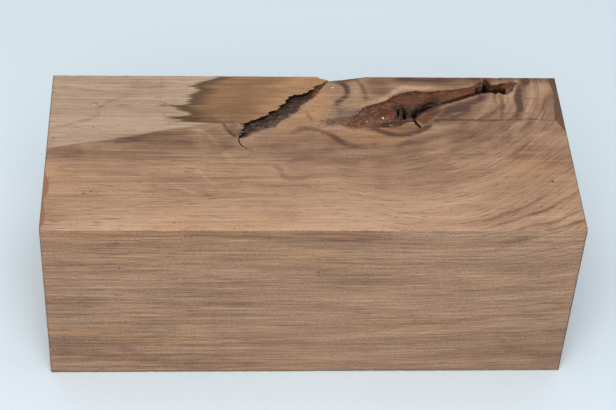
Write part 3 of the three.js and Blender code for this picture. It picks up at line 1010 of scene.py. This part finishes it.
def figure_of(w):
    """Growth bands, fibres and the saw's long scratches, as a swing round zero."""
    swirled = w.step(w.field("swirl"), 0.0, 1.0, 1.0, SWIRL_SHARE)
    lines = w.times(w.centred(w.grain(*LINES), LINE_WEIGHT), swirled)
    flow = w.times(w.centred(w.grain(*FLOW), FLOW_WEIGHT), swirled)
    mottle = w.centred(w.cells(w.place, *MOTTLE), MOTTLE_WEIGHT)
    scratch = w.step(w.straight(*SCRATCHES), *SCRATCH_CUT)
    broad = w.add(w.centred(w.grain(*BANDS), BAND_WEIGHT), w.centred(w.patch, PATCH_WEIGHT))
    broad = w.add(broad, lines)
    close = w.add(w.add(w.centred(w.fibre, FIBRE_WEIGHT), mottle), flow)
    close = w.add(close, w.times(scratch, SCRATCH_WEIGHT))
    close = w.times(close, w.step(w.y, *FRONT_FIGURE))
    return w.times(w.add(broad, close), w.minus(1.0, w.field("calm"), True))


def shade_of(w):
    """How far the streaks and the broad tones darken the wood, ragged and blotched along the grain."""
    ragged = w.step(w.add(w.grain(*WORN), w.centred(w.fibre, STREAK_FIBRE_WEIGHT)), *STREAK_RAGGED)
    blotch = w.step(w.grain(*BLOTCHES), *TONE_BLOTCHED)
    tone = w.field("tone")
    tone = w.add(w.times(w.larger(tone, 0.0), blotch), w.smaller(tone, 0.0))
    return w.add(w.times(w.field("streak"), ragged), tone)


def clear_wood(w):
    """Heartwood, and sapwood with its stain, both with pores."""
    figure = figure_of(w)
    shade = shade_of(w)

    def tone(figure_share, level, shade_share):
        return w.add(w.add(w.times(figure, figure_share), level), w.times(shade, shade_share))

    heart = w.ramp(tone(*HEART_TONE), HEART_RAMP)
    heart = w.mix(w.field("warmth"), heart, linear(WARM), "MULTIPLY")
    sap_tone = tone(*SAP_TONE)
    sap = w.ramp(sap_tone, SAP_RAMP)

    # The stain is ragged along the grain, with a dark edge and a darker band inside.
    tongues = w.centred(w.straight(*STAIN_TONGUES), TONGUE_REACH)
    jags = w.centred(w.straight(*STAIN_JAGS), JAG_REACH)
    inside = w.add(w.field("stain"), w.add(tongues, jags))
    across = w.step(w.add(w.field("stain"), w.centred(w.patch, STAIN_SWAY)), 0.0, STAIN_WIDTH)
    stained = w.mix(1.0, w.ramp(across, STAIN_RAMP), w.ramp(sap_tone, STAIN_SHADE_RAMP), "MULTIPLY")
    stained = w.mix(w.step(inside, *STAIN_EDGE), stained, linear(STAIN_DEEP))
    sap = w.mix(w.step(inside, *STAIN_START), sap, stained)

    in_sap = w.step(w.add(w.field("sap"), w.centred(w.fibre, SAP_EDGE_REACH)), *SAP_EDGE)
    pores = w.times(w.pore, w.step(in_sap, 0.0, 1.0, *PORE_SHARES))
    return w.mix(pores, w.mix(in_sap, heart, sap), linear(PORE))


def bark_and_wood(w, wood):
    """Crumbled bark with rust and grey in it, and the wood with grey and crumbs of that bark."""
    bark = w.ramp(w.crumble, BARK_RAMP)
    rust = w.times(w.field("rust"), w.step(w.strand, *RUST_STRANDS), True)
    bark = w.mix(rust, bark, w.ramp(w.crumble, RUST_RAMP))
    # Grey for weathered wood and bark, and also for the painted highlights in the pocket's hollow.
    weathered_and_highlit = w.ramp(w.grit, GREY_RAMP)
    grey = w.times(w.field("grey"), w.step(w.grit, *GREY_GRIT), True)
    bark = w.mix(w.times(grey, BARK_GREY_SHARE), bark, weathered_and_highlit)
    crumb = w.add(w.centred(w.grit, CRUMB_GRIT_WEIGHT), w.centred(w.lumps, CRUMB_LUMP_WEIGHT))
    crumb = w.step(w.add(w.field("crumb"), crumb), *CRUMB_CUT)
    return bark, w.mix(crumb, w.mix(grey, wood, weathered_and_highlit), bark)


def cleft_floor(w, wood, steep):
    """Torn wood with grey dust, with painted shade where it is deep or steep, and filled with bark flakes on
    the right.
    """
    silt = w.cells(w.place, *SILT)
    dusty = w.times(w.step(silt, *DUST_CUT), w.step(w.x, *CLEFT_DUST))
    floor = w.mix(dusty, linear(CLEFT_FLOOR), linear(CLEFT_GREY))
    # Painted shade where the cleft is deep or its wall is steep.
    floor = w.mix(w.larger(w.step(w.depth, *CLEFT_SHADOW), steep), floor, linear(CLEFT_PAINTED_SHADE))
    rim = w.step(w.add(w.depth, w.centred(silt, RIM_REACH)), *RIM_DEPTH)
    floor = w.mix(w.times(rim, w.step(w.field("level"), *UPWARD)), floor, wood)
    # Painted shade: the hairline slit in front of the cleft's tip is darkened.
    floor = w.mix(w.step(w.y, *HAIRLINE_SHADE), floor, linear(HEART_DARK))
    behind = w.add(w.add(w.y, -CLEFT_TIP[1]), w.times(w.add(w.x, -CLEFT_TIP[0]), -CLEFT_SLOPE))
    flakes = w.step(w.add(behind, w.centred(w.grit, SEAM_REACH)), *SEAM_LINE)
    flakes = w.times(w.step(w.x, *SEAM), flakes)
    return w.mix(flakes, floor, w.ramp(w.crumble, SEAM_RAMP))


def with_openings(w, wood, bark):
    """The wood, with bark in the pocket and over its edge, torn wood in the cleft, and painted shade in the
    openings.
    """
    pocket = w.field("pocket")
    steep = w.step(w.field("level"), *STEEP)
    # Painted shade: the bark darkens where it lies deep and on the pocket's steep rim walls, though not on
    # the wane.
    tail = w.step(w.x, *POCKET_TAIL)
    lip_shade = w.times(steep, w.step(tail, 0.0, 1.0, *LIP_SHADE_SHARES))
    bark_shade = w.larger(w.step(w.depth, *BARK_SHADOW), lip_shade)
    bark = w.mix(w.minus(bark_shade, w.field("wane"), True), bark, linear(BARK_PAINTED_SHADE))
    opening = w.mix(pocket, cleft_floor(w, wood, steep), bark)
    # Painted shade in the openings' hollows and crevices, crumbled along the bark.
    painted_shade = w.times(w.field("painted_shade"), w.step(w.crumble, *SHADE_CRUMBLE), True)
    opening = w.mix(w.times(painted_shade, SHADE_SHARE), opening, linear(BARK_PAINTED_SHADE))
    spread = w.step(tail, 0.0, 1.0, *BARK_SPREADS)
    gap = w.add(w.field("gap"), w.centred(w.grit, BARK_SPREAD_REACH))
    wood = w.mix(w.times(w.step(gap, spread, 0.0), pocket), wood, bark)
    return w.mix(w.field("inner"), wood, opening)


def with_spots(w, color):
    """The colour, with pale flecks and a small knot."""
    shallow = w.step(w.depth, *SPOT_DEPTH)
    for (spot_x, spot_y), radius, tint in SPOTS:
        off = w.vector(w.add(w.x, -spot_x), w.add(w.y, -spot_y))
        reach = w.node("ShaderNodeVectorMath", {0: off}, "Value", operation="LENGTH")
        spot = w.step(w.add(reach, w.centred(w.grit, radius)), radius, SPOT_CORE * radius)
        color = w.mix(w.times(spot, shallow), color, linear(tint))
    return color


def walnut():
    w = Wood("walnut")
    bark, wood = bark_and_wood(w, clear_wood(w))
    color = with_spots(w, with_openings(w, wood, bark))

    # The end sealer is brushed on, with growth rings showing through it on the ends.
    end = w.step(w.math("ABSOLUTE", w.x), *END_SKIN)
    ring = w.noise(w.vector(w.field("ring")), *RINGS)
    stroke = w.cells(w.place, *BRUSH_STROKES)
    coat = w.cells(w.place, *COAT)
    color = w.mix(end, color, w.ramp(ring, RING_RAMP))
    film = w.step(w.add(w.field("seal"), w.centred(w.grit, SEAL_REACH)), *SEAL_EDGE)
    brushed = w.mix(w.step(w.x, *THICK_COAT), linear(SEALER), linear(SEALER_THICK))
    cover = w.step(w.add(w.times(stroke, STROKE_SHARE), w.times(coat, COAT_SHARE)), *SEAL_COVER)
    color = w.mix(w.times(film, w.blend(end, LAP_COVER, cover)), color, brushed)

    dry = w.step(w.fibre, *DRY_ROUGHNESS)
    saw = w.add(w.times(w.fibre, FIBRE_RELIEF), w.times(w.pore, PORE_RELIEF))
    relief = w.blend(w.times(film, end), saw, stroke)
    w.link(color, w.shader.inputs["Base Color"])
    w.link(w.add(dry, w.times(film, -SEALER_GLOSS)), w.shader.inputs["Roughness"])
    w.shader.inputs["Specular IOR Level"].default_value = WOOD_SPECULAR
    w.link(w.bump(relief, RELIEF_DEPTH * MM, RELIEF_STRENGTH), w.shader.inputs["Normal"])
    return w.material


# The piece


def blank():
    bm, gaps = refined_block()
    co, inner = weather(bm, gaps)
    bm.normal_update()
    level = [v.normal.z for v in bm.verts]
    bmesh.ops.scale(bm, vec=(MM,) * 3, verts=bm.verts)
    mesh = bpy.data.meshes.new("blank_wood")
    bm.to_mesh(mesh)
    bm.free()
    layer, along = growth(co)
    wane = inner & (co[:, 1] > WANE_FRONT) & (co[:, 0] > WANE_REACH[0]) & (co[:, 0] < WANE_REACH[1])
    fields = {
        "level": level,
        "layer": layer,
        "along": along,
        "swirl": swirl(co),
        "ring": rings(co),
        "streak": top_marks(co, STREAKS) + front_marks(co, FRONT_STREAKS),
        "tone": top_marks(co, TONES) + front_marks(co, FRONT_TONES),
        "calm": top_marks(co, CALM),
        "warmth": top_marks(co, WARMTH) + front_marks(co, FRONT_WARMTH),
        "grey": bark_marks(co, GREYS),
        "rust": bark_marks(co, RUST),
        "painted_shade": bark_marks(co, SHADE_STROKES),
        "crumb": bark_marks(co, CRUMBS),
        "seal": sealed(co),
        "sap": sapwood(co),
        "stain": stain(co),
        "gap": gaps,
        "inner": inner,
        "wane": wane,
        "pocket": (co[:, 0] > CLEFT_END_X) | wane,
    }
    for name, values in fields.items():
        data = mesh.attributes.new(name, "FLOAT", "POINT").data
        data.foreach_set("value", np.asarray(values, np.float32))
    mesh.shade_smooth()
    mesh.set_sharp_from_angle(angle=math.radians(SHARP_ANGLE))
    mesh.materials.append(walnut())
    piece = bpy.data.objects.new("blank_wood", mesh)
    bpy.context.scene.collection.objects.link(piece)
    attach(piece, "root")
    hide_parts(NODE)


# The stage


def floor_and_light():
    g = Graph("floor")
    g.shader.inputs["Base Color"].default_value = linear(FLOOR)
    g.shader.inputs["Roughness"].default_value = FLOOR_ROUGHNESS
    g.shader.inputs["Specular IOR Level"].default_value = FLOOR_SPECULAR
    mesh = bpy.data.meshes.new("floor")
    low, high = -FLOOR_HALF, FLOOR_HALF
    corners = [(low, low, 0), (high, low, 0), (high, high, 0), (low, high, 0)]
    mesh.from_pydata(corners, [], [(0, 1, 2, 3)])
    mesh.materials.append(g.material)
    floor = bpy.data.objects.new("floor", mesh)
    bpy.context.scene.collection.objects.link(floor)

    world = bpy.data.worlds.new("studio")
    world.use_nodes = True
    world.node_tree.nodes["Background"].inputs["Color"].default_value = SKY
    world.node_tree.nodes["Background"].inputs["Strength"].default_value = SKY_STRENGTH
    bpy.context.scene.world = world
    for name, place, size, energy in LIGHTS:
        data = bpy.data.lights.new(name, "AREA")
        data.shape = "SQUARE"
        data.size = size
        data.energy = energy
        light = bpy.data.objects.new(name, data)
        light.location = place
        light.rotation_euler = (-Vector(place)).to_track_quat("-Z", "Y").to_euler()
        bpy.context.scene.collection.objects.link(light)


def camera():
    data = bpy.data.cameras.new("camera")
    data.sensor_fit = "HORIZONTAL"
    data.sensor_width = SENSOR_WIDTH
    data.lens = LENS
    eye = bpy.data.objects.new("camera", data)
    turn = (
        Matrix.Rotation(math.radians(CAMERA_YAW), 4, "Z")
        @ Matrix.Rotation(math.radians(CAMERA_PITCH), 4, "X")
        @ Matrix.Rotation(math.radians(CAMERA_ROLL), 4, "Z")
    )
    eye.matrix_world = Matrix.Translation(Vector(CAMERA_PLACE) * MM) @ turn
    bpy.context.scene.collection.objects.link(eye)
    bpy.context.scene.camera = eye


bpy.context.scene.view_settings.view_transform = "Standard"
camera()
floor_and_light()
blank()
